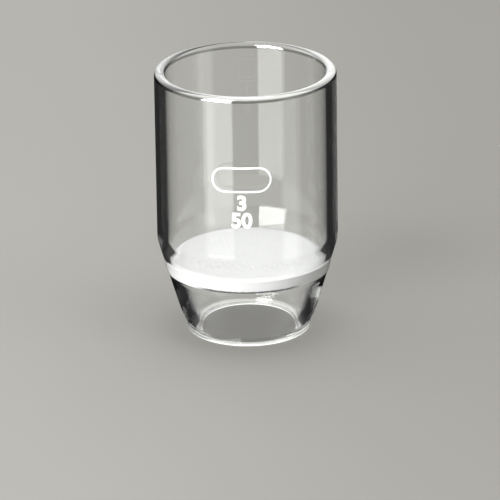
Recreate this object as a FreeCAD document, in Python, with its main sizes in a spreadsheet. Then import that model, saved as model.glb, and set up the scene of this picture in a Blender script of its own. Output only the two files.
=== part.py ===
"""Filter crucible of clear glass with a fused-in sintered disc.

The crucible stands on its ring foot. The origin is the centre of the foot's underside, +Z points up
along the axis, and every length is in millimetres. Both pieces are turned about the Z axis.
"""
import FreeCAD, Part
import math
import os

import Sketcher

# Name of each driving size, its value and what it is.
SIZES = (
    ("overall_height", 67.5, "foot to top of the rim"),
    ("wall_diameter", 45.0, "outside of the straight wall"),
    ("wall_thickness", 2.4, "glass of the straight wall and the shoulder"),
    ("rim_flat", 0.1, "level width left between the two rounds of the rim"),
    ("shoulder_rise", 5.7, "lower end of the straight wall above the filtering face"),
    ("shoulder_radius", 11.0, "outside curve of the shoulder"),
    ("foot_diameter", 30.8, "upright outside of the foot"),
    ("foot_rise", 1.3, "top of the foot's upright outside"),
    ("foot_blend", 3.0, "hollow curve from the foot out to the ankle"),
    ("ankle_round", 13.0, "curve of the ankle, which leads into the taper"),
    ("ankle_reach", 2.3, "how far the ankle's whole circle would stand out from the foot"),
    ("foot_width", 3.4, "glass of the foot's ring, before its edges are rounded"),
    ("foot_round_outside", 0.7, "fire-polished outer edge of the foot"),
    ("foot_round_inside", 0.55, "fire-polished inner edge of the foot"),
    ("disc_top_height", 19.7, "filtering face of the disc above the foot"),
    ("disc_thickness", 3.9, "thickness of the sintered disc"),
    ("face_inset", 0.65, "edge of the free filtering face inside the bowl's straight wall"),
    ("disc_flare", 2.0, "how much further the filtering face reaches than the underside"),
    ("fused_depth", 0.35, "how far the disc's edge is sunk into the glass"),
    ("seam_drop", 1.9, "centre of the swelling's curve below the filtering face"),
    ("seam_radius", 5.5, "curve of the swelling and of its run-outs"),
    ("seam_bulge", 0.15, "how far the swelling stands out of the taper"),
)

SHEET = "sizes"
FULL_TURN = 360.0
EDGE_TOLERANCE = 1e-4
# How a sketch names the ends and centre of an edge, its own origin and its two axes.
START, END, CENTRE = range(1, 4)
SKETCH_ORIGIN = (-1, START)
RADIUS_AXIS, HEIGHT_AXIS = range(-1, -3, -1)


class Length:
    """A length as a number, with the spreadsheet expression that gives it."""

    def __init__(self, value, expression):
        self.value = value
        self.expression = expression

    def __add__(self, other):
        return Length(self.value + other.value, f"({self.expression} + {other.expression})")

    def __sub__(self, other):
        return Length(self.value - other.value, f"({self.expression} - {other.expression})")

    def __truediv__(self, number):
        return Length(self.value / number, f"{self.expression} / {number}")


AXIS = GROUND = Length(0.0, "0")


class Section:
    """A sketch on the body's XZ plane: x is the distance from the axis and y is the height."""

    def __init__(self, body, name):
        self.sketch = body.newObject("Sketcher::SketchObject", name)
        plane = next(f for f in body.Origin.OriginFeatures if f.Role == "XZ_Plane")
        self.sketch.AttachmentSupport = [(plane, "")]
        self.sketch.MapMode = "FlatFace"

    def line(self, start, end):
        """Adds a straight edge and returns its number."""
        ends = [FreeCAD.Vector(*point, 0) for point in (start, end)]
        return self.sketch.addGeometry(Part.LineSegment(*ends), False)

    def arc(self, centre, radius, start, end):
        """Adds an arc that runs anticlockwise from start to end, and returns its number."""
        angles = [math.atan2(y - centre[1], x - centre[0]) for x, y in (start, end)]
        circle = Part.Circle(FreeCAD.Vector(*centre, 0), FreeCAD.Vector(0, 0, 1), radius)
        return self.sketch.addGeometry(Part.ArcOfCircle(circle, *angles), False)

    def tie(self, kind, *where):
        """Adds a constraint that has no size."""
        self.sketch.addConstraint(Sketcher.Constraint(kind, *where))

    def size(self, kind, where, length):
        """Adds a constraint with a size, and binds it to the spreadsheet."""
        number = self.sketch.addConstraint(Sketcher.Constraint(kind, *where, length.value))
        self.sketch.setExpression(f"Constraints[{number}]", length.expression)

    def at(self, edge, end, radius, height):
        """Places one end or the centre of an edge by its distance from the axis and its height."""
        for kind, length, axis in (("DistanceX", radius, HEIGHT_AXIS), ("DistanceY", height, RADIUS_AXIS)):
            if length is AXIS:
                self.tie("PointOnObject", edge, end, axis)
            else:
                self.size(kind, (*SKETCH_ORIGIN, edge, end), length)

    def join(self, kind, *pairs):
        """Joins the end of the first edge of each pair to the start of the second."""
        for edge, following in pairs:
            self.tie(kind, edge, END, following, START)

    def turn(self, body, kind, name):
        """Turns the section once about the Z axis, as a PartDesign Revolution or Groove."""
        feature = body.newObject(f"PartDesign::{kind}", name)
        feature.Profile = self.sketch
        feature.ReferenceAxis = (self.sketch, ["V_Axis"])
        feature.Angle = FULL_TURN
        return feature


def polygon_section(body, name, corners):
    """A closed section of straight edges, whose corners are (distance from the axis, height)."""
    section = Section(body, name)
    points = [(radius.value, height.value) for radius, height in corners]
    edges = [section.line(*ends) for ends in zip(points, points[1:] + points[:1])]
    section.join("Coincident", *zip(edges, edges[1:] + edges[:1]))
    for edge, corner in zip(edges, corners):
        section.at(edge, START, *corner)
    return section


def outer_tangent(low, low_radius, high, high_radius):
    """Where a line touches the outer sides of two circles, the upper of which stands further out."""
    towards = math.atan2(high[1] - low[1], high[0] - low[0])
    angle = towards - math.acos((low_radius - high_radius) / math.dist(low, high))
    way = math.cos(angle), math.sin(angle)
    circles = ((low, low_radius), (high, high_radius))
    return [tuple(centre[i] + radius * way[i] for i in (0, 1)) for centre, radius in circles]


class Crucible:
    """Builds both pieces from the driving sizes."""

    def __init__(self, doc):
        self.doc = doc
        self.read_sizes()
        self.wall_radius = self.wall_diameter / 2
        self.bowl_radius = self.wall_radius - self.wall_thickness
        self.foot_radius = self.foot_diameter / 2
        self.foot_bore_radius = self.foot_radius - self.foot_width
        self.face_radius = self.bowl_radius - self.face_inset
        self.underside_radius = self.face_radius - self.disc_flare
        self.disc_bottom_height = self.disc_top_height - self.disc_thickness
        self.shoulder_height = self.disc_top_height + self.shoulder_rise
        self.seam_height = self.disc_top_height - self.seam_drop
        self.shoulder_centre = (self.wall_radius - self.shoulder_radius, self.shoulder_height)

    def read_sizes(self):
        """Puts the driving sizes into a spreadsheet, and gives each its name here."""
        sheet = self.doc.addObject("Spreadsheet::Sheet", SHEET)
        for row, (name, value, meaning) in enumerate(SIZES, start=1):
            sheet.set(f"A{row}", name)
            sheet.set(f"B{row}", str(value))
            sheet.set(f"C{row}", meaning)
            sheet.setAlias(f"B{row}", name)
            setattr(self, name, Length(value, f"{SHEET}.{name}"))
        self.doc.recompute()

    def ankle_arcs(self):
        """The centres of the foot's hollow and of the ankle, and where the one runs into the other."""
        hollow = (self.foot_radius.value + self.foot_blend.value, self.foot_rise.value)
        span = self.foot_blend.value + self.ankle_round.value
        across = self.ankle_reach.value - span
        ankle = (hollow[0] + across, hollow[1] + math.sqrt(span**2 - across**2))
        share = self.foot_blend.value / span
        return hollow, ankle, tuple(hollow[i] + share * (ankle[i] - hollow[i]) for i in (0, 1))

    def seam_arcs(self, ankle, touch):
        """The centres and the ends of the swelling's three arcs, in order up the taper."""
        length = math.dist(ankle, touch)
        along = ((touch[0] - ankle[0]) / length, (touch[1] - ankle[1]) / length)
        outward = (along[1], -along[0])
        radius, bulge = self.seam_radius.value, self.seam_bulge.value
        # The middle arc's centre lies inside the taper's line, by its radius less the bulge.
        depth = radius - bulge
        middle = (self.seam_height.value - ankle[1] + depth * outward[1]) / along[1]
        reach = math.sqrt((2 * radius) ** 2 - (radius + depth) ** 2)

        def place(forward, out):
            return tuple(ankle[i] + (middle + forward) * along[i] + out * outward[i] for i in (0, 1))

        centres = [place(-reach, radius), place(0, -depth), place(reach, radius)]
        ends = [place(-reach, 0), place(-reach / 2, bulge / 2), place(reach / 2, bulge / 2), place(reach, 0)]
        return centres, ends

    def outside(self, body):
        """The outside as a solid: foot, ankle, taper with its swelling, shoulder and wall."""
        section = Section(body, "outside_form")
        bend = [length.value for length in self.shoulder_centre]
        bend_radius = self.shoulder_radius
        seam_radius = self.seam_radius.value
        foot = (self.foot_radius.value, 0.0)
        foot_top = (self.foot_radius.value, self.foot_rise.value)
        hollow_centre, ankle_centre, turn = self.ankle_arcs()
        ankle_round = self.ankle_round.value
        ankle_top, touch = outer_tangent(ankle_centre, ankle_round, bend, bend_radius.value)
        centres, ends = self.seam_arcs(ankle_top, touch)
        wall_foot = (self.wall_radius.value, self.shoulder_height.value)
        wall_top = (self.wall_radius.value, self.overall_height.value)
        axis_top = (0.0, self.overall_height.value)

        base = section.line((0.0, 0.0), foot)
        upright = section.line(foot, foot_top)
        hollow = section.arc(hollow_centre, self.foot_blend.value, turn, foot_top)
        ankle = section.arc(ankle_centre, ankle_round, turn, ankle_top)
        taper_low = section.line(ankle_top, ends[0])
        run_in = section.arc(centres[0], seam_radius, ends[1], ends[0])
        swelling = section.arc(centres[1], seam_radius, ends[1], ends[2])
        run_out = section.arc(centres[2], seam_radius, ends[3], ends[2])
        taper_high = section.line(ends[3], touch)
        shoulder = section.arc(bend, bend_radius.value, touch, wall_foot)
        wall = section.line(wall_foot, wall_top)
        top = section.line(wall_top, axis_top)
        axis = section.line(axis_top, (0.0, 0.0))

        section.join("Coincident", (base, upright), (wall, top), (top, axis), (axis, base))
        section.join("Tangent", (ankle, taper_low), (taper_high, shoulder), (shoulder, wall))
        section.tie("Tangent", upright, END, hollow, END)
        section.tie("Tangent", hollow, START, ankle, START)
        section.tie("Tangent", taper_low, END, run_in, END)
        section.tie("Tangent", run_in, START, swelling, START)
        section.tie("Tangent", swelling, END, run_out, END)
        section.tie("Tangent", run_out, START, taper_high, START)
        section.tie("Tangent", taper_low, taper_high)
        section.tie("Equal", run_in, swelling)
        section.tie("Equal", swelling, run_out)
        section.tie("Horizontal", top)
        section.at(base, START, AXIS, GROUND)
        section.at(base, END, self.foot_radius, GROUND)
        section.at(upright, END, self.foot_radius, self.foot_rise)
        section.at(axis, START, AXIS, self.overall_height)
        section.at(shoulder, CENTRE, *self.shoulder_centre)
        section.size("Radius", (shoulder,), bend_radius)
        section.size("Radius", (hollow,), self.foot_blend)
        section.size("Radius", (ankle,), self.ankle_round)
        ankle_place = self.foot_radius + self.ankle_reach - self.ankle_round
        section.size("DistanceX", (*SKETCH_ORIGIN, ankle, CENTRE), ankle_place)
        section.size("Radius", (swelling,), self.seam_radius)
        section.size("DistanceY", (*SKETCH_ORIGIN, swelling, CENTRE), self.seam_height)
        section.size("Distance", (swelling, CENTRE, taper_low), self.seam_radius - self.seam_bulge)
        return section.turn(body, "Revolution", "outside")

    def bowl(self, body):
        """The inside of the bowl, from the open mouth down to the filtering face."""
        section = Section(body, "bowl_form")
        bend = [length.value for length in self.shoulder_centre]
        bend_radius = self.shoulder_radius - self.wall_thickness
        face_edge = (self.face_radius.value, self.disc_top_height.value)
        touch = outer_tangent(face_edge, 0.0, bend, bend_radius.value)[1]
        wall_foot = (self.bowl_radius.value, self.shoulder_height.value)
        mouth = (self.bowl_radius.value, self.overall_height.value)
        axis_top, axis_foot = (0.0, self.overall_height.value), (0.0, self.disc_top_height.value)

        face = section.line(axis_foot, face_edge)
        slope = section.line(face_edge, touch)
        shoulder = section.arc(bend, bend_radius.value, touch, wall_foot)
        wall = section.line(wall_foot, mouth)
        top = section.line(mouth, axis_top)
        axis = section.line(axis_top, axis_foot)

        section.join("Coincident", (face, slope), (wall, top), (top, axis), (axis, face))
        section.join("Tangent", (slope, shoulder), (shoulder, wall))
        section.tie("Horizontal", top)
        section.at(face, START, AXIS, self.disc_top_height)
        section.at(face, END, self.face_radius, self.disc_top_height)
        section.at(axis, START, AXIS, self.overall_height)
        section.at(shoulder, CENTRE, *self.shoulder_centre)
        section.size("Radius", (shoulder,), bend_radius)
        return section.turn(body, "Groove", "bowl")

    def disc_section(self, body):
        """The section of the disc, which is also that of its seat in the glass."""
        upper = self.face_radius + self.fused_depth
        lower = self.underside_radius + self.fused_depth
        return polygon_section(body, "disc_form", (
            (AXIS, self.disc_bottom_height), (lower, self.disc_bottom_height),
            (upper, self.disc_top_height), (AXIS, self.disc_top_height),
        ))

    def disc_seat(self, body):
        """The groove in the wall that the disc's edge is fused into."""
        return self.disc_section(body).turn(body, "Groove", "disc_seat")

    def skirt_hollow(self, body):
        """The hollow under the disc, which narrows to the opening of the foot."""
        section = polygon_section(body, "skirt_form", (
            (AXIS, GROUND), (self.foot_bore_radius, GROUND),
            (self.underside_radius, self.disc_bottom_height), (AXIS, self.disc_bottom_height),
        ))
        return section.turn(body, "Groove", "skirt_hollow")

    def round_edges(self, body, name, circles, radius):
        """Rounds the circular edges that stand at the given distances from the axis and heights."""
        base = body.Tip
        names = [
            f"Edge{number}" for number, edge in enumerate(base.Shape.Edges, start=1)
            for distance, height in circles
            if isinstance(edge.Curve, Part.Circle)
            and abs(edge.Curve.Radius - distance.value) < EDGE_TOLERANCE
            and abs(edge.Curve.Center.z - height.value) < EDGE_TOLERANCE
        ]
        if len(names) != len(circles):
            raise RuntimeError(f"{name}: {len(circles)} circles gave {len(names)} edges")
        rounding = body.newObject("PartDesign::Fillet", name)
        rounding.Base = (base, names)
        rounding.setExpression("Radius", radius.expression)
        self.doc.recompute()

    def glass_body(self):
        """The worked glass: one piece from rim to foot, open at both ends."""
        body = self.doc.addObject("PartDesign::Body", "glass_body")
        body.Label = "glass_body"
        self.outside(body)
        self.doc.recompute()
        for cut in (self.bowl, self.disc_seat, self.skirt_hollow):
            volume = body.Shape.Volume
            feature = cut(body)
            self.doc.recompute()
            if body.Shape.Volume >= volume:
                raise RuntimeError(f"{feature.Name} cuts nothing")
        rim = ((self.wall_radius, self.overall_height), (self.bowl_radius, self.overall_height))
        self.round_edges(body, "rim_round", rim, (self.wall_thickness - self.rim_flat) / 2)
        self.round_edges(body, "foot_outer_round", ((self.foot_radius, GROUND),), self.foot_round_outside)
        self.round_edges(body, "foot_inner_round", ((self.foot_bore_radius, GROUND),), self.foot_round_inside)
        return body

    def sintered_disc(self):
        """The porous disc, which fills its seat in the glass."""
        body = self.doc.addObject("PartDesign::Body", "sintered_disc")
        body.Label = "sintered_disc"
        self.disc_section(body).turn(body, "Revolution", "disc")
        self.doc.recompute()
        return body


def check(doc, bodies):
    """Stops if an object failed, or a piece isn't one sound solid."""
    for item in doc.Objects:
        if "Invalid" in item.State or "Error" in item.State:
            raise RuntimeError(f"{item.Name} didn't build: {item.State}")
    for body in bodies:
        if body.Shape.isNull() or not body.Shape.isValid() or len(body.Shape.Solids) != 1:
            raise RuntimeError(f"{body.Label} isn't one sound solid")


def main():
    """Builds the crucible and writes one STEP file for each piece."""
    doc = FreeCAD.newDocument("filter_crucible")
    crucible = Crucible(doc)
    bodies = [crucible.glass_body(), crucible.sintered_disc()]
    for body in bodies:
        body.Placement = FreeCAD.Placement()
    doc.recompute()
    check(doc, bodies)
    os.makedirs("parts", exist_ok=True)
    for body in bodies:
        body.Shape.exportStep(f"parts/{body.Label}.step")
        print(f"{body.Label}: {body.Shape.Volume:.1f} mm3")


main()
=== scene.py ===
"""Dresses the filter crucible: the clear worked glass, the sintered disc and the baked white print.

Sizes are in millimetres and meshes are written in metres. +Z is the crucible's axis. The camera stands on
the -Y side and looks along +Y and down.
"""
import logging
import math
from dataclasses import dataclass, field
from enum import Enum
from typing import Any

import bmesh
import bpy
import numpy as np
from mathutils import Matrix, Vector


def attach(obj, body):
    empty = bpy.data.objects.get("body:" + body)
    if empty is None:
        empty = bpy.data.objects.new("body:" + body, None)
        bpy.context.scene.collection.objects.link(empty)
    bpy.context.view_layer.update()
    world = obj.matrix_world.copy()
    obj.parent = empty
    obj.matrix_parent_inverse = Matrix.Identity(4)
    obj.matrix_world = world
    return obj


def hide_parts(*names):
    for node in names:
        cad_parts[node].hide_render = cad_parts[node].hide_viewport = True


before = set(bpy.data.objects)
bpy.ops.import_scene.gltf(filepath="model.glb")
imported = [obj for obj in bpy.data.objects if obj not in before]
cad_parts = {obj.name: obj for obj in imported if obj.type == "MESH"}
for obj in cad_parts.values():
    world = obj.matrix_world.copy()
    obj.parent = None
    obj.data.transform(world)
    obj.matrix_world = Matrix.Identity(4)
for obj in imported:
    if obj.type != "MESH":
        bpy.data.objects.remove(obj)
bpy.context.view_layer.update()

LOG = logging.getLogger("filter_crucible")
MM = 0.001
BODY = "root"
PICTURE_WIDTH = 500.0
CLOSE = 1e-5
SHARP_ANGLE = math.radians(35.0)

Colour = tuple[float, float, float]
Axes = tuple[float, float, float]
Point = tuple[float, float]


# Shader sums


class Signal:
    """What a shader socket gives, so that shader sums are written as Python expressions."""

    def __init__(self, graph: "Graph", socket: bpy.types.NodeSocket) -> None:
        """Wraps one output socket of a graph."""
        self.graph = graph
        self.socket = socket

    def of(self, output: int | str) -> "Signal":
        """Another output of the same node."""
        return Signal(self.graph, self.socket.node.outputs[output])

    def _sum(self, operation: str, first: "Term", second: "Term") -> "Signal":
        """One Math node."""
        return self.graph.node("ShaderNodeMath", {"operation": operation}, {0: first, 1: second})

    def __add__(self, other: "Term") -> "Signal":
        """This plus the other."""
        return self._sum("ADD", self, other)

    def __sub__(self, other: "Term") -> "Signal":
        """This less the other."""
        return self._sum("SUBTRACT", self, other)

    def __rsub__(self, other: "Term") -> "Signal":
        """The other less this."""
        return self._sum("SUBTRACT", other, self)

    def __mul__(self, other: "Term") -> "Signal":
        """This times the other."""
        return self._sum("MULTIPLY", self, other)

    def __truediv__(self, other: "Term") -> "Signal":
        """This divided by the other."""
        return self._sum("DIVIDE", self, other)

    def __gt__(self, other: "Term") -> "Signal":
        """1 where this is more than the other, else 0."""
        return self._sum("GREATER_THAN", self, other)

    def __lt__(self, other: "Term") -> "Signal":
        """1 where this is less than the other, else 0."""
        return self._sum("LESS_THAN", self, other)

    __radd__ = __add__
    __rmul__ = __mul__

    def ease(self, start: float, end: float) -> "Signal":
        """Eases from 0 to 1 between two values.

        Args:
            start: The value at which it is 0, which may be the higher of the two.
            end: The value at which it is 1.

        Returns:
            The eased signal.
        """
        low, high = min(start, end), max(start, end)
        rise = self.graph.node(
            "ShaderNodeMapRange",
            {"interpolation_type": "SMOOTHSTEP"},
            {"Value": self, "From Min": low, "From Max": high},
        )
        return rise if start < end else 1.0 - rise

    def between(self, low: float, high: float, soft: float) -> "Signal":
        """1 from low to high, fading to 0 over soft at each end."""
        return self.ease(low - soft, low + soft) * self.ease(high + soft, high - soft)

    def span(self, first: float, last: float) -> "Signal":
        """Goes from the first value where this is 0 to the last where it is 1."""
        return first + (last - first) * self


Term = Signal | float


class Graph:
    """A node tree that is being written."""

    def __init__(self, owner: bpy.types.Material | bpy.types.World) -> None:
        """Starts an empty tree for a material or the world."""
        owner.use_nodes = True
        self.tree = owner.node_tree
        self.tree.nodes.clear()

    def node(
        self,
        kind: str,
        settings: dict[str, Any] | None = None,
        values: dict[int | str, Any] | None = None,
        output: int | str = 0,
    ) -> Signal:
        """Adds one node.

        Args:
            kind: The node's type.
            settings: Its settings, which are set first.
            values: What each input socket takes: a number, a colour or a link.
            output: The output socket that is wanted.

        Returns:
            That output socket's signal.
        """
        made = self.tree.nodes.new(kind)
        for name, value in (settings or {}).items():
            setattr(made, name, value)
        for key, value in (values or {}).items():
            if isinstance(value, Signal):
                self.tree.links.new(value.socket, made.inputs[key])
            else:
                made.inputs[key].default_value = value
        return Signal(self, made.outputs[output])

    def finish(self, shader: Signal, kind: str = "ShaderNodeOutputMaterial") -> None:
        """Gives the tree its output."""
        self.tree.links.new(shader.socket, self.tree.nodes.new(kind).inputs["Surface"])

    def place(self) -> Signal:
        """Object coordinates."""
        return self.node("ShaderNodeTexCoord", output="Object")

    def millimetres(self) -> tuple[Signal, Signal, Signal]:
        """How far a point lies to the right of the axis, behind it and above the foot, in millimetres."""
        parts = self.node("ShaderNodeSeparateXYZ", values={0: self.place()})
        return parts / MM, parts.of("Y") / MM, parts.of("Z") / MM

    def noise(self, place: Signal, grain: float, detail: float = 2.0, roughness: float = 0.5) -> Signal:
        """Noise from 0 to 1 whose lumps are about grain millimetres across."""
        return self.node(
            "ShaderNodeTexNoise",
            values={"Vector": place, "Scale": 1.0 / (grain * MM), "Detail": detail, "Roughness": roughness},
        )

    def stretch(self, place: Signal, scale: Axes) -> Signal:
        """Coordinates scaled along each axis."""
        return self.node("ShaderNodeMapping", values={"Vector": place, "Scale": scale})

    def tint(self, share: Term, first: Any, second: Any) -> Signal:
        """A colour that goes from the first to the second as share goes from 0 to 1."""
        return self.node("ShaderNodeMix", {"data_type": "RGBA"}, {0: share, 6: first, 7: second}, 2)

    def bump(self, height: Signal, depth: float, strength: float = 1.0) -> Signal:
        """A normal from a height whose full range is depth millimetres."""
        return self.node(
            "ShaderNodeBump", values={"Strength": strength, "Distance": depth * MM, "Height": height}
        )

    def blend(self, share: Term, first: Signal, second: Signal) -> Signal:
        """A shader that goes from the first to the second as share goes from 0 to 1."""
        return self.node("ShaderNodeMixShader", values={0: share, 1: first, 2: second})


def rgba(colour: Colour) -> tuple[float, float, float, float]:
    """An opaque colour for a socket."""
    return (*colour, 1.0)


def squares(pair: Point) -> Point:
    """The squares of two radii, to set against a squared distance."""
    return pair[0] ** 2, pair[1] ** 2


# Finishes


@dataclass(frozen=True)
class ClearGlass:
    """Fire-polished clear borosilicate glass, which lets lamps through to what it holds.

    The tint is what one pass in and out of the glass keeps. Faint draw lines run up the wall. The rounded
    edges of the rim and the foot carry painted highlights, a faint emission, and a painted shade darkens a
    line under the rim.
    A pair of millimetres tells where a tone begins and where it is full, or the two ends of a band.
    """

    tint: Colour = (0.985, 0.988, 0.981)
    streak_tint: Colour = (0.972, 0.978, 0.97)
    streak_grain: float = 1.6
    streak_squeeze: Axes = (1.0, 1.0, 0.05)
    streak_depth: float = 0.0006
    lamp_share: Colour = (0.99, 0.99, 0.988)
    refraction: float = 1.474
    # Painted highlights: an emission on the rim's top, the foot's outer edge and its inner lip.
    painted_highlight_colour: Colour = (0.98, 1.0, 0.96)
    painted_highlight_strength: float = 0.42
    # Where the painted highlights lie, and how strong each one is.
    rim_top: Point = (66.8, 67.05)
    rim_front: Point = (20.0, 8.0)
    rim_side: Point = (-15.0, 22.0)
    rim_share: Point = (0.5, 1.35)
    foot_side: Point = (1.0, 0.3)
    foot_edge: Point = (14.6, 15.0)
    foot_share: float = 0.9
    lip_band: Point = (0.15, 0.5)
    lip_soft: float = 0.08
    lip_edge: Point = (12.9, 12.7)
    # Painted shade: a dark band in the glass's colour just under the rim.
    painted_rim_shade_band: Point = (66.2, 66.85)
    painted_rim_shade_soft: float = 0.1
    painted_rim_shade_tint: Colour = (0.22, 0.225, 0.215)

    def painted_edge_highlights(self, graph: Graph, across: Signal, ahead: Signal, height: Signal) -> Signal:
        """The painted highlights, an emission on the top of the rim, the foot's outer edge and its inner lip.

        Args:
            graph: The material's graph.
            across: How far a point lies to the right of the axis.
            ahead: How far it lies behind the axis.
            height: How far it lies above the foot.

        Returns:
            The colour of the painted highlights, black elsewhere.
        """
        reach = across * across + ahead * ahead
        share = across.ease(*self.rim_side).span(*self.rim_share)
        rim = height.ease(*self.rim_top) * ahead.ease(*self.rim_front) * share
        foot = height.ease(*self.foot_side) * reach.ease(*squares(self.foot_edge)) * self.foot_share
        lip = height.between(*self.lip_band, self.lip_soft) * reach.ease(*squares(self.lip_edge))
        return graph.tint(rim + foot + lip, rgba((0.0, 0.0, 0.0)), rgba(self.painted_highlight_colour))

    def material(self) -> bpy.types.Material:
        """Builds the material.

        Returns:
            The material.
        """
        made = bpy.data.materials.new("clear_glass")
        graph = Graph(made)
        lines = graph.noise(graph.stretch(graph.place(), self.streak_squeeze), self.streak_grain)
        across, ahead, height = graph.millimetres()
        base = graph.tint(lines, rgba(self.tint), rgba(self.streak_tint))
        # Painted shade under the rim, mixed into the glass's colour.
        shade = height.between(*self.painted_rim_shade_band, self.painted_rim_shade_soft)
        glass = graph.node(
            "ShaderNodeBsdfPrincipled",
            values={
                "Base Color": graph.tint(shade, base, rgba(self.painted_rim_shade_tint)),
                "Roughness": 0.0,
                "IOR": self.refraction,
                "Transmission Weight": 1.0,
                "Normal": graph.bump(lines, self.streak_depth),
                # Painted highlights on the rim, the foot and the lip, given as emission.
                "Emission Color": self.painted_edge_highlights(graph, across, ahead, height),
                "Emission Strength": self.painted_highlight_strength,
            },
        )
        open_glass = graph.node("ShaderNodeBsdfTransparent", values={"Color": rgba(self.lamp_share)})
        lamp_ray = graph.node("ShaderNodeLightPath", output="Is Shadow Ray")
        graph.finish(graph.blend(lamp_ray, glass, open_glass))
        return made


@dataclass(frozen=True)
class SinteredGrains:
    """White fused glass grains: matt, finely pitted and slightly uneven in tone.

    The face is painted lighter towards its front edge, a painted light, and the side is painted darker, a
    painted shade. Over the middle of the disc's width a painted shadow with a ragged upper edge lies on the
    foot of the side, where the disc is fused to the glass, and on the underside. Pairs are as in ClearGlass.
    """

    pale: Colour = (0.93, 0.93, 0.935)
    shade: Colour = (0.80, 0.80, 0.805)
    grain: float = 0.22
    grain_detail: float = 3.0
    grain_roughness: float = 0.6
    grain_dark: Point = (0.62, 0.30)
    grain_share: float = 0.55
    cloud: float = 4.0
    cloud_dark: Point = (0.45, 0.75)
    cloud_share: float = 0.2
    pit_depth: float = 0.05
    pit_strength: float = 0.6
    matt: Point = (0.75, 0.95)
    # Painted light: the face is lighter towards its front edge.
    front: Colour = (0.995, 0.995, 0.99)
    painted_light_reach: Point = (11.0, 19.0)
    painted_light_ahead: Point = (0.0, -14.0)
    # Painted shade: the disc's side is darker than the face.
    side: Colour = (0.81, 0.81, 0.81)
    painted_side_shade_top: Point = (19.1, 18.9)
    # Painted shadow: a dark, ragged band at the foot of the side and on the underside.
    line: Colour = (0.10, 0.10, 0.10)
    painted_shadow_top: Point = (16.5, 16.35)
    painted_shadow_ends: Point = (13.0, 9.0)
    painted_shadow_grain: float = 0.9
    painted_shadow_rag: float = 0.5

    def material(self) -> bpy.types.Material:
        """Builds the material.

        Returns:
            The material.
        """
        made = bpy.data.materials.new("sintered_glass")
        graph = Graph(made)
        place = graph.place()
        across, ahead, height = graph.millimetres()
        grains = graph.noise(place, self.grain, self.grain_detail, self.grain_roughness)
        cloud = graph.noise(place, self.cloud).ease(*self.cloud_dark)
        tone = grains.ease(*self.grain_dark) * self.grain_share + cloud * self.cloud_share
        level = graph.stretch(place, (1.0, 1.0, 0.0))
        reach = graph.node("ShaderNodeVectorMath", {"operation": "LENGTH"}, {0: level}, "Value") / MM
        # Painted light towards the face's front edge.
        front = reach.ease(*self.painted_light_reach) * ahead.ease(*self.painted_light_ahead)
        base = graph.tint(front, rgba(self.pale), rgba(self.front))
        # Painted shade on the side.
        base = graph.tint(height.ease(*self.painted_side_shade_top), base, rgba(self.side))
        base = graph.tint(tone, base, rgba(self.shade))
        # Painted shadow with a ragged upper edge, over the middle of the disc's width.
        ragged_painted_shadow = height + graph.noise(place, self.painted_shadow_grain) * self.painted_shadow_rag
        under = ragged_painted_shadow.ease(*self.painted_shadow_top) * (across * across).ease(*squares(self.painted_shadow_ends))
        base = graph.tint(under, base, rgba(self.line))
        matt = graph.node(
            "ShaderNodeBsdfPrincipled",
            values={
                "Base Color": base,
                "Roughness": grains.span(*self.matt),
                "Normal": graph.bump(grains, self.pit_depth, self.pit_strength),
            },
        )
        graph.finish(matt)
        return made


@dataclass(frozen=True)
class BakedEnamel:
    """White enamel print, fired on: satin, with thin spots that let a little grey through."""

    pale: Colour = (0.93, 0.93, 0.92)
    thin: Colour = (0.80, 0.80, 0.80)
    thin_from: Point = (0.5, 0.8)
    grain: float = 0.18
    grain_detail: float = 3.0
    grain_depth: float = 0.01
    satin: Point = (0.4, 0.6)

    def material(self) -> bpy.types.Material:
        """Builds the material.

        Returns:
            The material.
        """
        made = bpy.data.materials.new("white_enamel")
        graph = Graph(made)
        speckle = graph.noise(graph.place(), self.grain, self.grain_detail)
        satin = graph.node(
            "ShaderNodeBsdfPrincipled",
            values={
                "Base Color": graph.tint(speckle.ease(*self.thin_from), rgba(self.pale), rgba(self.thin)),
                "Roughness": speckle.span(*self.satin),
                "Normal": graph.bump(speckle, self.grain_depth),
            },
        )
        graph.finish(satin)
        return made


@dataclass(frozen=True)
class PaleFloor:
    """A plain pale floor, with a painted shade that makes it a little darker to the right.

    Rays that the glass has mirrored pass it, and see the studio that the world holds.
    """

    pale: Colour = (0.378, 0.369, 0.350)
    # Painted shade: the floor turns to this colour towards the right.
    painted_floor_shade: Colour = (0.308, 0.300, 0.281)
    painted_floor_shade_span: Point = (-75.0, 75.0)
    cloud: float = 60.0
    cloud_share: float = 0.12

    def material(self) -> bpy.types.Material:
        """Builds the material.

        Returns:
            The material.
        """
        made = bpy.data.materials.new("pale_floor")
        graph = Graph(made)
        cloud = graph.noise(graph.place(), self.cloud)
        across = graph.node("ShaderNodeSeparateXYZ", values={0: graph.place()}) / MM
        # Painted shade darker to the right, plus a random cloud of tone.
        tone = across.ease(*self.painted_floor_shade_span) * (1.0 - self.cloud_share) + cloud * self.cloud_share
        matt = graph.node(
            "ShaderNodeBsdfPrincipled",
            values={
                "Base Color": graph.tint(tone, rgba(self.pale), rgba(self.painted_floor_shade)),
                "Roughness": 0.9,
                "Specular IOR Level": 0.0,
            },
        )
        clear = graph.node("ShaderNodeBsdfTransparent")
        graph.finish(graph.blend(mirrored_ray(graph), matt, clear))
        return made


def mirrored_ray(graph: Graph, times: int = 1) -> Signal:
    """Tells rays that the glass has mirrored from all others and from lamps' own rays.

    Args:
        graph: The graph that asks.
        times: How often the glass has mirrored them at least.

    Returns:
        1 for such a ray, else 0.
    """
    path = graph.node("ShaderNodeLightPath")
    mirrored = path.of("Glossy Depth") > times - 0.5
    return mirrored * (1.0 - path.of("Is Shadow Ray")) * (path.of("Diffuse Depth") < 0.5)


# Surfaces


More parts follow.
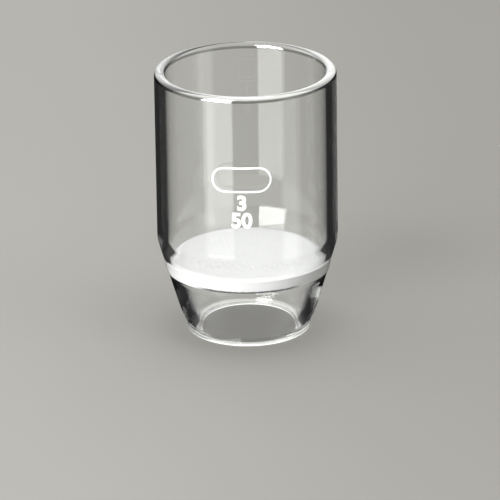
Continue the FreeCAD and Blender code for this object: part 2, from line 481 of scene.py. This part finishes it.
def run(start: Point, end: Point, count: int) -> np.ndarray:
    """A straight run, whose points lie closer together towards both ends.

    Formula: start + (end - start) * (1 - cos t) / 2, with t from 0 to pi.

    Args:
        start: The first point.
        end: The last point.
        count: How many steps the run has.

    Returns:
        One row for each point but the last.
    """
    share = (1.0 - np.cos(np.linspace(0.0, math.pi, count + 1)[:-1])) / 2.0
    return np.asarray(start) + np.outer(share, np.subtract(end, start))


def bend(centre: Point, radius: float, start: Point, end: Point, count: int) -> np.ndarray:
    """An arc from start to end the short way round its centre.

    Formula: centre + radius * (cos t, sin t), with t evenly spaced between the two ends' angles.

    Args:
        centre: The arc's centre.
        radius: Its radius.
        start: The first point.
        end: The last point.
        count: How many steps the arc has.

    Returns:
        One row for each point but the last.
    """
    first, last = (math.atan2(y - centre[1], x - centre[0]) for x, y in (start, end))
    sweep = (last - first + math.pi) % math.tau - math.pi
    turn = first + sweep * np.linspace(0.0, 1.0, count + 1)[:-1]
    return np.asarray(centre) + radius * np.stack([np.cos(turn), np.sin(turn)], axis=1)


def outer_tangent(low: Point, low_radius: float, high: Point, high_radius: float) -> tuple[Point, Point]:
    """Where a line touches the outer sides of two circles, the upper of which stands further out.

    Formula: the line's outward normal makes, with the way from the lower centre to the upper one, an angle
    whose cosine is the difference of the radii divided by the distance of the centres.

    Args:
        low: The lower circle's centre.
        low_radius: Its radius, 0 for a point.
        high: The upper circle's centre.
        high_radius: Its radius.

    Returns:
        The line's points on the lower and on the upper circle.
    """
    towards = math.atan2(high[1] - low[1], high[0] - low[0])
    angle = towards - math.acos((low_radius - high_radius) / math.dist(low, high))
    way = np.array([math.cos(angle), math.sin(angle)])
    return tuple(np.add(low, low_radius * way)), tuple(np.add(high, high_radius * way))


def make_piece(name: str, points: np.ndarray, faces: list, material: bpy.types.Material) -> bpy.types.Object:
    """Makes a smooth-shaded mesh object from points in millimetres.

    Args:
        name: The piece's name.
        points: One row of x, y and z for each vertex.
        faces: Vertex numbers of each face, anticlockwise seen from outside.
        material: The piece's finish.

    Returns:
        The object, in the scene and at the origin.
    """
    mesh = bpy.data.meshes.new(name)
    mesh.from_pydata(points * MM, [], faces)
    mesh.polygons.foreach_set("use_smooth", np.ones(len(mesh.polygons), bool))
    mesh.set_sharp_from_angle(angle=SHARP_ANGLE)
    mesh.materials.append(material)
    mesh.validate()
    piece = bpy.data.objects.new(name, mesh)
    bpy.context.scene.collection.objects.link(piece)
    return piece


def lathe(outline: np.ndarray, segments: int) -> tuple[np.ndarray, list]:
    """Turns an outline of (radius, height) about the Z axis, with the solid on the outline's left.

    Formula: x = r cos t, y = r sin t, z = height, with t once round. An outline that starts and ends on the
    axis is closed by two fans, and any other is a ring that closes on itself.

    Args:
        outline: One row of radius and height for each point.
        segments: How many steps go round.

    Returns:
        The points, ring after ring, and the faces.
    """
    capped = outline[0, 0] == 0.0
    rings = outline[1:-1] if capped else outline
    turn = np.linspace(0.0, math.tau, segments, endpoint=False)
    grid = np.stack(
        [np.outer(rings[:, 0], np.cos(turn)), np.outer(rings[:, 0], np.sin(turn)),
         np.repeat(rings[:, 1:], segments, axis=1)], axis=2,
    )
    points = grid.reshape(-1, 3)
    number = np.arange(len(points)).reshape(len(rings), segments)
    onward = np.roll(number, -1, axis=1)
    if capped:
        low, high, low_next, high_next = number[:-1], number[1:], onward[:-1], onward[1:]
    else:
        low, high, low_next, high_next = number, np.roll(number, -1, 0), onward, np.roll(onward, -1, 0)
    faces = np.stack([low, low_next, high_next, high], axis=2).reshape(-1, 4).tolist()
    if capped:
        foot, head = len(points), len(points) + 1
        points = np.vstack([points, [0.0, 0.0, outline[0, 1]], [0.0, 0.0, outline[-1, 1]]])
        faces += np.stack([np.full(segments, foot), onward[0], number[0]], axis=1).tolist()
        faces += np.stack([np.full(segments, head), number[-1], onward[-1]], axis=1).tolist()
    return points, faces


def ripple(seed: int, waves: int, shortest: float, longest: float, *axes: np.ndarray) -> np.ndarray:
    """A smooth random height from about -1 to 1.

    Formula: the sum of plane waves cos(k . p + phase) in random directions, with wavelengths from shortest to
    longest, divided by the root of half their number and by 2.

    Args:
        seed: What the random draws start from.
        waves: How many waves are summed.
        shortest: The shortest wavelength.
        longest: The longest wavelength.
        axes: The coordinates that the waves run over.

    Returns:
        The height at each point.
    """
    draw = np.random.default_rng(seed)
    ways = draw.normal(size=(waves, len(axes)))
    ways /= np.linalg.norm(ways, axis=1, keepdims=True)
    pitch = math.tau / draw.uniform(shortest, longest, waves)
    phase = draw.uniform(0.0, math.tau, waves)
    total = np.zeros(axes[0].shape)
    for way, wave, start in zip(ways, pitch, phase):
        total += np.cos(wave * sum(part * axis for part, axis in zip(way, axes)) + start)
    return total / math.sqrt(waves / 2.0) / 2.0


def own(piece: bpy.types.Object) -> bpy.types.Object:
    """Ties a piece to the crucible's one body, and reports it.

    Args:
        piece: The piece.

    Returns:
        The piece.
    """
    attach(piece, BODY)
    LOG.info("%s: %d vertices, %d faces", piece.name, len(piece.data.vertices), len(piece.data.polygons))
    return piece


# The crucible's pieces


@dataclass
class WorkedGlass:
    """The glass from rim to foot, turned from one closed outline.

    The face and the underside are the disc's: the glass is fused to its side by the fused depth. It comes
    further in over the face's edge by the lip, and drops from the lip into a groove, down to the disc's
    rounded edge.
    """

    height: float = 67.5
    wall_radius: float = 22.47
    bowl_radius: float = 19.8
    rim_flat: float = 0.05
    shoulder_start: float = 25.4
    shoulder_centre: float = 11.5
    foot_radius: float = 15.4
    foot_rise: float = 1.3
    foot_blend: float = 3.0
    ankle_round: float = 13.0
    ankle_reach: float = 2.3
    foot_bore_radius: float = 12.0
    foot_round_outside: float = 0.7
    foot_round_inside: float = 0.55
    face_radius: float = 19.45
    face_height: float = 19.7
    underside_radius: float = 17.45
    underside_height: float = 15.8
    fused_depth: float = 0.35
    face_lip: float = 0.55
    groove_depth: float = 0.7
    seam_height: float = 17.8
    seam_radius: float = 5.5
    seam_bulge: float = 0.15
    segments: int = 320
    finish: ClearGlass = field(default_factory=ClearGlass)

    def ankle(self) -> tuple[Point, Point, Point]:
        """The centres of the foot's hollow and of the ankle, and where the one arc runs into the other.

        The hollow's centre lies level with the top of the foot's upright side, and the ankle's is as far from
        it as both radii together.

        Returns:
            The hollow's centre, the ankle's centre and the point where the arcs meet.
        """
        hollow = (self.foot_radius + self.foot_blend, self.foot_rise)
        span = self.foot_blend + self.ankle_round
        across = self.ankle_reach - span
        centre = (hollow[0] + across, hollow[1] + math.sqrt(span**2 - across**2))
        share = self.foot_blend / span
        x, y = (hollow[i] + share * (centre[i] - hollow[i]) for i in (0, 1))
        return hollow, centre, (x, y)

    def swelling(self, ankle: Point, shoulder: Point) -> tuple[list[Point], list[Point]]:
        """The centres and ends of the swelling's three arcs, in order up the taper.

        The middle arc's centre lies inside the taper's line by its radius less the bulge, and the arcs that
        lead in and out have theirs a radius outside it.

        Args:
            ankle: The taper's lower end.
            shoulder: Its upper end.

        Returns:
            The three centres and the arcs' four ends.
        """
        length = math.dist(ankle, shoulder)
        along = ((shoulder[0] - ankle[0]) / length, (shoulder[1] - ankle[1]) / length)
        outward = (along[1], -along[0])
        radius, bulge = self.seam_radius, self.seam_bulge
        depth = radius - bulge
        middle = (self.seam_height - ankle[1] + depth * outward[1]) / along[1]
        reach = math.sqrt((2.0 * radius) ** 2 - (radius + depth) ** 2)

        def place(forward: float, out: float) -> Point:
            """A point by its distance from the swelling's middle along the taper and out of it."""
            x, y = (ankle[i] + (middle + forward) * along[i] + out * outward[i] for i in (0, 1))
            return x, y

        centres = [place(-reach, radius), place(0.0, -depth), place(reach, radius)]
        ends = [
            place(-reach, 0.0), place(-reach / 2, bulge / 2), place(reach / 2, bulge / 2), place(reach, 0.0)
        ]
        return centres, ends

    def corner_round(self, corner: Point, radius: float, before: Point, after: Point) -> tuple[Point, ...]:
        """The centre and both ends of a round between two straight runs that meet in a corner.

        Args:
            corner: Where the runs meet.
            radius: The round's radius.
            before: A point on the run that comes in.
            after: A point on the run that goes out.

        Returns:
            The centre, the end on the run that comes in and the end on the run that goes out.
        """
        come = np.subtract(before, corner) / math.dist(before, corner)
        go = np.subtract(after, corner) / math.dist(after, corner)
        half = math.acos(float(come @ go)) / 2.0
        middle = (come + go) / np.linalg.norm(come + go)
        centre = np.asarray(corner) + middle * radius / math.sin(half)
        set_back = radius / math.tan(half)
        return tuple(centre), tuple(corner + come * set_back), tuple(corner + go * set_back)

    @property
    def edge_height(self) -> float:
        """The height at which the disc's rounded edge meets its seat."""
        return self.face_height - self.groove_depth

    @property
    def lip_radius(self) -> float:
        """How near the axis the glass comes over the disc's edge."""
        return self.face_radius - self.face_lip

    def seat(self, height: float) -> Point:
        """The point of the disc's seat at a height.

        Formula: the seat flares from underside to face as the disc's side does, the fused depth outside it.
        """
        flare = (self.face_radius - self.underside_radius) / (self.face_height - self.underside_height)
        return self.underside_radius + self.fused_depth + flare * (height - self.underside_height), height

    def outline(self) -> np.ndarray:
        """The glass's section, from the foot's underside up the outside and back down the inside.

        Returns:
            One row of radius and height for each point.
        """
        outside, inside = self.wall_radius, self.bowl_radius
        foot, bore = (self.foot_radius, 0.0), (self.foot_bore_radius, 0.0)
        foot_top = (self.foot_radius, self.foot_rise)
        bend_centre = (self.shoulder_centre, self.shoulder_start)
        hollow_centre, ankle_centre, turn = self.ankle()
        ankle_top, shoulder = outer_tangent(
            ankle_centre, self.ankle_round, bend_centre, outside - self.shoulder_centre
        )
        centres, ends = self.swelling(ankle_top, shoulder)
        out_centre, out_level, out_side = self.corner_round(foot, self.foot_round_outside, bore, foot_top)
        hollow_top = (self.underside_radius, self.underside_height)
        in_centre, in_taper, in_level = self.corner_round(bore, self.foot_round_inside, hollow_top, foot)
        lip, lip_foot = (self.lip_radius, self.face_height), (self.lip_radius, self.edge_height)
        face_seat, under_seat = self.seat(self.edge_height), self.seat(self.underside_height)
        bowl_bend = self.bowl_radius - self.shoulder_centre
        bowl_touch = outer_tangent(lip, 0.0, bend_centre, bowl_bend)[1]
        rim = (outside - inside) / 2.0 - self.rim_flat
        rim_low = self.height - rim
        wall_foot, wall_top = (outside, self.shoulder_start), (outside, rim_low)
        bowl_foot, bowl_top = (inside, self.shoulder_start), (inside, rim_low)
        return np.concatenate([
            run(in_level, out_level, 4),
            bend(out_centre, self.foot_round_outside, out_level, out_side, 12),
            run(out_side, foot_top, 2),
            bend(hollow_centre, self.foot_blend, foot_top, turn, 8),
            bend(ankle_centre, self.ankle_round, turn, ankle_top, 10),
            run(ankle_top, ends[0], 12),
            bend(centres[0], self.seam_radius, ends[0], ends[1], 5),
            bend(centres[1], self.seam_radius, ends[1], ends[2], 8),
            bend(centres[2], self.seam_radius, ends[2], ends[3], 5),
            run(ends[3], shoulder, 8),
            bend(bend_centre, outside - self.shoulder_centre, shoulder, wall_foot, 10),
            run(wall_foot, wall_top, 24),
            bend((outside - rim, rim_low), rim, wall_top, (outside - rim, self.height), 14),
            run((outside - rim, self.height), (inside + rim, self.height), 2),
            bend((inside + rim, rim_low), rim, (inside + rim, self.height), bowl_top, 14),
            run(bowl_top, bowl_foot, 24),
            bend(bend_centre, bowl_bend, bowl_foot, bowl_touch, 8),
            run(bowl_touch, lip, 10),
            run(lip, lip_foot, 3),
            run(lip_foot, face_seat, 2),
            run(face_seat, under_seat, 8),
            run(under_seat, hollow_top, 2),
            run(hollow_top, in_taper, 16),
            bend(in_centre, self.foot_round_inside, in_taper, in_level, 14),
        ])

    def build(self) -> bpy.types.Object:
        """Makes the glass in place of its CAD node.

        Returns:
            The glass.
        """
        points, faces = lathe(self.outline(), self.segments)
        piece = own(make_piece("worked_glass", points, faces, self.finish.material()))
        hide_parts("glass_body")
        return piece


@dataclass
class FilterDisc:
    """The sintered disc, which fills its seat in the glass and is rounded down into the groove there.

    Its edge is sunk a hair into the glass, so that no air lies between.
    """

    glass: WorkedGlass
    round_width: float = 1.9
    sunk: float = 0.03
    grain_seed: int = 7
    grain_waves: int = 160
    grain_sizes: Point = (0.5, 1.6)
    grain_depth: float = 0.02
    grain_fade: float = 0.5
    segments: int = 360
    rings: int = 84
    finish: SinteredGrains = field(default_factory=SinteredGrains)

    def build(self) -> bpy.types.Object:
        """Makes the disc in place of its CAD node.

        Formula: a lathe of the seat's own outline. The face then rises from its edge by the groove's depth
        times 1 - u * u, where u falls from 1 under the glass's lip to 0 over the rounded width, and is let
        down by a fine ripple that fades out towards the lip.

        Returns:
            The disc.
        """
        glass = self.glass
        low, high = glass.underside_height - self.sunk, glass.edge_height + self.sunk
        edge_low = (glass.seat(glass.underside_height)[0] + self.sunk, low)
        edge_high = (glass.seat(glass.edge_height)[0] + self.sunk, high)
        across = np.linspace(0.0, 1.0, self.rings)
        under = np.stack([across * edge_low[0], np.full(self.rings, low)], axis=1)[:-1]
        over = np.stack([(1.0 - across) * edge_high[0], np.full(self.rings, high)], axis=1)
        side = run(edge_low, edge_high, 16)
        points, faces = lathe(np.concatenate([under, side, over]), self.segments)
        inward = glass.lip_radius - np.hypot(points[:, 0], points[:, 1])
        grain = ripple(self.grain_seed, self.grain_waves, *self.grain_sizes, points[:, 0], points[:, 1])
        free = np.clip(inward / self.grain_fade, 0.0, 1.0)
        fall = np.clip(1.0 - inward / self.round_width, 0.0, 1.0) ** 2
        top = points[:, 2] > high - CLOSE
        rise = glass.groove_depth * (1.0 - fall) - free * (self.sunk + self.grain_depth * (1.0 + grain))
        points[:, 2] += np.where(top, rise, 0.0)
        piece = own(make_piece("filter_disc", points, faces, self.finish.material()))
        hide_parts("sintered_disc")
        return piece


class Mark(Enum):
    """The print's marks on the front of the wall."""

    GRADE = "3"
    CAPACITY = "50"


@dataclass
class Print:
    """The baked print: a plain open label frame with two plain numbers under it.

    The turn is how far round the wall the print's middle lies from the front, in degrees. The offset makes
    the numbers bolder, as a share of the type's size, and they are cut into strips as wide as the step.
    """

    wall_radius: float = 22.488
    film: float = 0.03
    turn: float = -3.4
    frame_low: float = 43.2
    frame_high: float = 49.8
    frame_width: float = 15.0
    frame_line: float = 0.5
    frame_corner: float = 3.29
    frame_steps: int = 160
    corner_steps: int = 96
    grade_band: Point = (38.6, 42.6)
    capacity_band: Point = (34.1, 38.1)
    offset: float = 0.035
    curve_steps: int = 12
    step: float = 0.35
    finish: BakedEnamel = field(default_factory=BakedEnamel)

    def wrap(self, flat: np.ndarray) -> np.ndarray:
        """Lays flat points on the wall.

        Formula: with t = x / R + turn, a point goes to (R sin t, -R cos t, z).

        Args:
            flat: One row of x, the distance round the wall, and z, the height, for each point.

        Returns:
            The points on the wall.
        """
        turn = flat[:, 0] / self.wall_radius + math.radians(self.turn)
        return np.stack(
            [self.wall_radius * np.sin(turn), -self.wall_radius * np.cos(turn), flat[:, 1]], axis=1
        )

    def lay(self, name: str, flat: np.ndarray, faces: list, material: bpy.types.Material) -> bpy.types.Object:
        """Makes one mark of the print, with the film's thickness towards the glass.

        Args:
            name: The mark's name.
            flat: Its points before they are laid on the wall.
            faces: Vertex numbers of each face.
            material: The print's finish.

        Returns:
            The mark.
        """
        piece = make_piece(name, self.wrap(flat), faces, material)
        film = piece.modifiers.new("film", "SOLIDIFY")
        film.thickness = self.film * MM
        film.offset = -1.0
        return own(piece)

    def label_frame(self, material: bpy.types.Material) -> bpy.types.Object:
        """The open frame: a band between two rounded rectangles.

        Formula: each rounded rectangle is its four corner centres plus the corner's radius times
        (cos t, sin t), with t once round, and evenly spaced points are read along it.

        Args:
            material: The print's finish.

        Returns:
            The frame.
        """
        middle = (self.frame_low + self.frame_high) / 2.0
        half = np.array([self.frame_width / 2.0, (self.frame_high - self.frame_low) / 2.0])
        turn = np.linspace(0.0, math.tau, self.corner_steps + 1)
        way = np.stack([np.cos(turn), np.sin(turn)], axis=1)
        side = np.sign(np.round(way, 6))
        side[side == 0.0] = 1.0

        def rounded(radius: float) -> np.ndarray:
            """The rounded rectangle with this corner radius, closed on its first point."""
            loop = side * (half - self.frame_corner) + radius * way
            return np.vstack([loop, loop[:1]])

        outer, inner = rounded(self.frame_corner), rounded(self.frame_corner - self.frame_line)
        length = np.concatenate([[0.0], np.cumsum(np.hypot(*np.diff(outer, axis=0).T))])
        even = np.linspace(0.0, length[-1], self.frame_steps + 1)[:-1]
        rings = [
            np.stack([np.interp(even, length, ring[:, i]) for i in (0, 1)], axis=1) for ring in (outer, inner)
        ]
        flat = np.concatenate(rings) + [0.0, middle]
        number = np.arange(self.frame_steps)
        onward = np.roll(number, -1)
        faces = np.stack([number, onward, onward + len(number), number + len(number)], axis=1).tolist()
        return self.lay("print_frame", flat, faces, material)

    def numeral(self, mark: Mark, band: Point, material: bpy.types.Material) -> bpy.types.Object:
        """A number as a mesh cut into narrow strips, so that it follows the wall's curve.

        Args:
            mark: The number.
            band: The heights of its foot and of its head.
            material: The print's finish.

        Returns:
            The number.
        """
        low, high = band
        curve = bpy.data.curves.new(mark.name.lower(), "FONT")
        curve.body, curve.align_x = mark.value, "CENTER"
        curve.offset, curve.resolution_u = self.offset, self.curve_steps
        letters = bpy.data.objects.new("letters", curve)
        bpy.context.scene.collection.objects.link(letters)
        bpy.context.view_layer.update()
        mesh = bpy.data.meshes.new_from_object(letters)
        bpy.data.objects.remove(letters)
        shape = bmesh.new()
        shape.from_mesh(mesh)
        bmesh.ops.remove_doubles(shape, verts=shape.verts, dist=CLOSE)
        flat = np.array([corner.co for corner in shape.verts])
        scale = (high - low) / np.ptp(flat[:, 1])
        middle = (flat[:, 0].max() + flat[:, 0].min()) / 2.0
        width = np.ptp(flat[:, 0]) * scale
        for cut in np.arange(-width / 2.0 + self.step, width / 2.0, self.step):
            bmesh.ops.bisect_plane(
                shape, geom=[*shape.verts, *shape.edges, *shape.faces],
                plane_co=(middle + cut / scale, 0.0, 0.0), plane_no=(1.0, 0.0, 0.0),
            )
        shape.verts.index_update()
        flat = np.array([corner.co for corner in shape.verts])
        faces = [[corner.index for corner in face.verts] for face in shape.faces]
        shape.free()
        across, up = (flat[:, 0] - middle) * scale, (flat[:, 1] - flat[:, 1].min()) * scale + low
        placed = np.stack([across, up], axis=1)
        return self.lay(f"print_{mark.name.lower()}", placed, faces, material)

    def build(self) -> None:
        """Makes every mark."""
        material = self.finish.material()
        self.label_frame(material)
        self.numeral(Mark.GRADE, self.grade_band, material)
        self.numeral(Mark.CAPACITY, self.capacity_band, material)


# The studio


@dataclass
class Lamp:
    """A soft area lamp, placed by its direction and distance from the crucible's middle.

    The azimuth is 0 towards the photograph's camera and grows to its right, in degrees. The distance and
    the size are in metres and the power is in watts.
    """

    name: str
    azimuth: float
    elevation: float
    distance: float
    size: Point
    power: float

    def build(self, middle: Vector) -> None:
        """Makes the lamp, which the glass doesn't mirror: the world holds the studio that it mirrors.

        Args:
            middle: The crucible's middle.
        """
        turn, rise = math.radians(self.azimuth), math.radians(self.elevation)
        way = Vector((math.sin(turn) * math.cos(rise), -math.cos(turn) * math.cos(rise), math.sin(rise)))
        data = bpy.data.lights.new(self.name, "AREA")
        data.shape, data.size, data.size_y, data.energy = "RECTANGLE", *self.size, self.power
        lamp = bpy.data.objects.new(self.name, data)
        lamp.location = middle + way * self.distance
        lamp.rotation_euler = way.to_track_quat("Z", "Y").to_euler()
        lamp.visible_camera = lamp.visible_glossy = lamp.visible_transmission = False
        bpy.context.scene.collection.objects.link(lamp)


@dataclass(frozen=True)
class MirroredStudio:
    """What rays that the glass has mirrored see: tall softboxes round a dark room.

    A side is an azimuth, as a lamp's, and a rise is the sine of the angle above the level. A pair gives the
    two ends of a light, or where it begins and where it is full. A level is a light's strength.

    The key fades in from below in two steps, which end its streaks on the wall, and has a bright window
    higher up, which the bowl's slope mirrors. Rays that the glass mirrors again and again, as at the rim and
    the skirt's sides, see a pale glow on the left and next to nothing on the right.
    """

    tall: Point = (-0.55, 0.8)
    tall_soft: float = 0.1
    key_sides: Point = (-55.5, -18.0)
    key_soft: float = 1.5
    key_level: float = 3.3
    key_steps: tuple[Point, Point] = ((-0.40, -0.37), (-0.3518, -0.3496))
    key_shares: Point = (0.3, 0.7)
    window: Point = (-0.19, -0.15)
    window_level: float = 20.0
    fill_sides: Point = (48.0, 72.0)
    fill_soft: float = 3.0
    fill_level: float = 1.2
    behind_sides: tuple[Point, Point] = ((-163.0, -167.0), (174.0, 178.0))
    behind_rises: Point = (-0.27, 0.5)
    behind_soft: float = 0.02
    behind_level: float = 0.6
    near_sides: Point = (-110.0, 110.0)
    near_soft: float = 25.0
    near_level: float = 0.25
    above: Point = (0.0, 0.25)
    above_level: float = 0.7
    below: Point = (-0.6, -0.75)
    below_level: float = 0.6
    dark_level: float = 0.02
    many_times: int = 5
    glow: Colour = (0.95, 0.97, 0.92)
    dim: Colour = (0.05, 0.05, 0.05)
    glow_sides: Point = (20.0, -20.0)

    def colour(self, graph: Graph, azimuth: Signal, rise: Signal) -> Signal:
        """The studio's colour in a direction.

        Args:
            graph: The world's graph.
            azimuth: The direction's azimuth in degrees.
            rise: The sine of its angle above the level.

        Returns:
            The colour.
        """
        tall = rise.between(*self.tall, self.tall_soft)
        window = 1.0 + self.window_level * rise.ease(*self.window)
        low, high = (share * rise.ease(*step) for share, step in zip(self.key_shares, self.key_steps))
        key = azimuth.between(*self.key_sides, self.key_soft) * tall * window * (low + high) * self.key_level
        fill = azimuth.between(*self.fill_sides, self.fill_soft) * tall * self.fill_level
        left, right = (azimuth.ease(*side) for side in self.behind_sides)
        behind = (left + right) * rise.between(*self.behind_rises, self.behind_soft) * self.behind_level
        near = azimuth.between(*self.near_sides, self.near_soft) * self.near_level
        above = rise.ease(*self.above) * self.above_level
        below = rise.ease(*self.below) * self.below_level
        level = key + fill + behind + near + above + below + self.dark_level
        studio = graph.node("ShaderNodeCombineColor", values={0: level, 1: level, 2: level})
        glow = graph.tint(azimuth.ease(*self.glow_sides), rgba(self.dim), rgba(self.glow))
        return graph.tint(mirrored_ray(graph, self.many_times), studio, glow)


@dataclass
class Studio:
    """The pale floor and surroundings, the lamps, the studio that the glass mirrors, and the camera.

    The crucible's middle and the camera's distance, aim and reach are in metres, its rise and roll in
    degrees. Its scale is how many of the picture's pixels make a millimetre at the crucible's axis.
    """

    background: Colour = (0.455, 0.445, 0.425)
    ceiling: Colour = (0.95, 0.96, 0.95)
    ceiling_rise: Point = (0.05, 0.5)
    mirrored: MirroredStudio = field(default_factory=MirroredStudio)
    floor_half: float = 6000.0
    middle: Vector = field(default_factory=lambda: Vector((0.0, 0.0, 0.035)))
    lamps: tuple[Lamp, ...] = (
        Lamp("key_softbox", azimuth=-38.0, elevation=10.0, distance=1.4, size=(0.8, 0.44), power=28.0),
        Lamp("fill_softbox", azimuth=65.0, elevation=25.0, distance=1.6, size=(0.9, 1.2), power=4.0),
        Lamp("top_softbox", azimuth=180.0, elevation=70.0, distance=1.5, size=(1.2, 1.2), power=3.0),
    )
    camera_distance: float = 1.25
    camera_rise: float = 20.14
    camera_roll: float = -0.85
    camera_aim: Vector = field(default_factory=lambda: Vector((0.00053, 0.0, 0.01988)))
    camera_scale: float = 4.0304
    camera_sensor: float = 36.0
    camera_reach: Point = (0.05, 50.0)
    bounces: int = 32
    mirror_bounces: int = 16

    def floor(self) -> None:
        """A wide flat square under the foot."""
        half = self.floor_half
        corners = np.array([(-half, -half, 0.0), (half, -half, 0.0), (half, half, 0.0), (-half, half, 0.0)])
        make_piece("floor", corners, [[0, 1, 2, 3]], PaleFloor().material())

    def world(self) -> None:
        """The pale surroundings, and for rays that the glass has mirrored the studio."""
        world = bpy.data.worlds.new("studio")
        bpy.context.scene.world = world
        graph = Graph(world)
        way = graph.node("ShaderNodeTexCoord", output="Generated")
        way = graph.node("ShaderNodeSeparateXYZ", values={0: way})
        across, ahead, rise = way.of("X"), way.of("Y"), way.of("Z")
        azimuth = graph.node("ShaderNodeMath", {"operation": "ARCTAN2"}, {0: across, 1: ahead * -1.0})
        azimuth = azimuth * math.degrees(1.0)
        sky = graph.tint(rise.ease(*self.ceiling_rise), rgba(self.background), rgba(self.ceiling))
        shown = graph.tint(mirrored_ray(graph), sky, self.mirrored.colour(graph, azimuth, rise))
        graph.finish(graph.node("ShaderNodeBackground", values={0: shown}), "ShaderNodeOutputWorld")

    def camera(self) -> None:
        """The photograph's camera, which looks down on the crucible and is turned slightly."""
        distance = self.camera_distance
        rise, roll = math.radians(self.camera_rise), math.radians(self.camera_roll)
        spot = Vector((0.0, -distance * math.cos(rise), self.middle.z + distance * math.sin(rise)))
        ahead = (self.camera_aim - spot).normalized()
        level = ahead.cross(Vector((0.0, 0.0, 1.0))).normalized()
        upright = level.cross(ahead)
        right = level * math.cos(roll) + upright * math.sin(roll)
        up = upright * math.cos(roll) - level * math.sin(roll)
        data = bpy.data.cameras.new("camera")
        data.sensor_width = self.camera_sensor
        data.lens = self.camera_sensor * self.camera_scale * (distance / MM) / PICTURE_WIDTH
        data.clip_start, data.clip_end = self.camera_reach
        camera = bpy.data.objects.new("camera", data)
        camera.matrix_world = Matrix.Translation(spot) @ Matrix((right, up, -ahead)).transposed().to_4x4()
        bpy.context.scene.collection.objects.link(camera)
        bpy.context.scene.camera = camera

    def build(self) -> None:
        """Sets up everything round the crucible, with paths long enough to pass all its glass."""
        self.floor()
        self.world()
        self.camera()
        for lamp in self.lamps:
            lamp.build(self.middle)
        scene = bpy.context.scene
        scene.view_settings.view_transform = "Standard"
        scene.cycles.max_bounces = self.bounces
        scene.cycles.glossy_bounces = self.mirror_bounces
        scene.cycles.transmission_bounces = self.bounces
        scene.cycles.transparent_max_bounces = self.bounces


def main() -> None:
    """Builds the pieces and the studio."""
    logging.basicConfig(level=logging.INFO, format="%(message)s")
    glass = WorkedGlass()
    glass.build()
    FilterDisc(glass).build()
    Print().build()
    Studio().build()


if __name__ == "__main__":
    main()
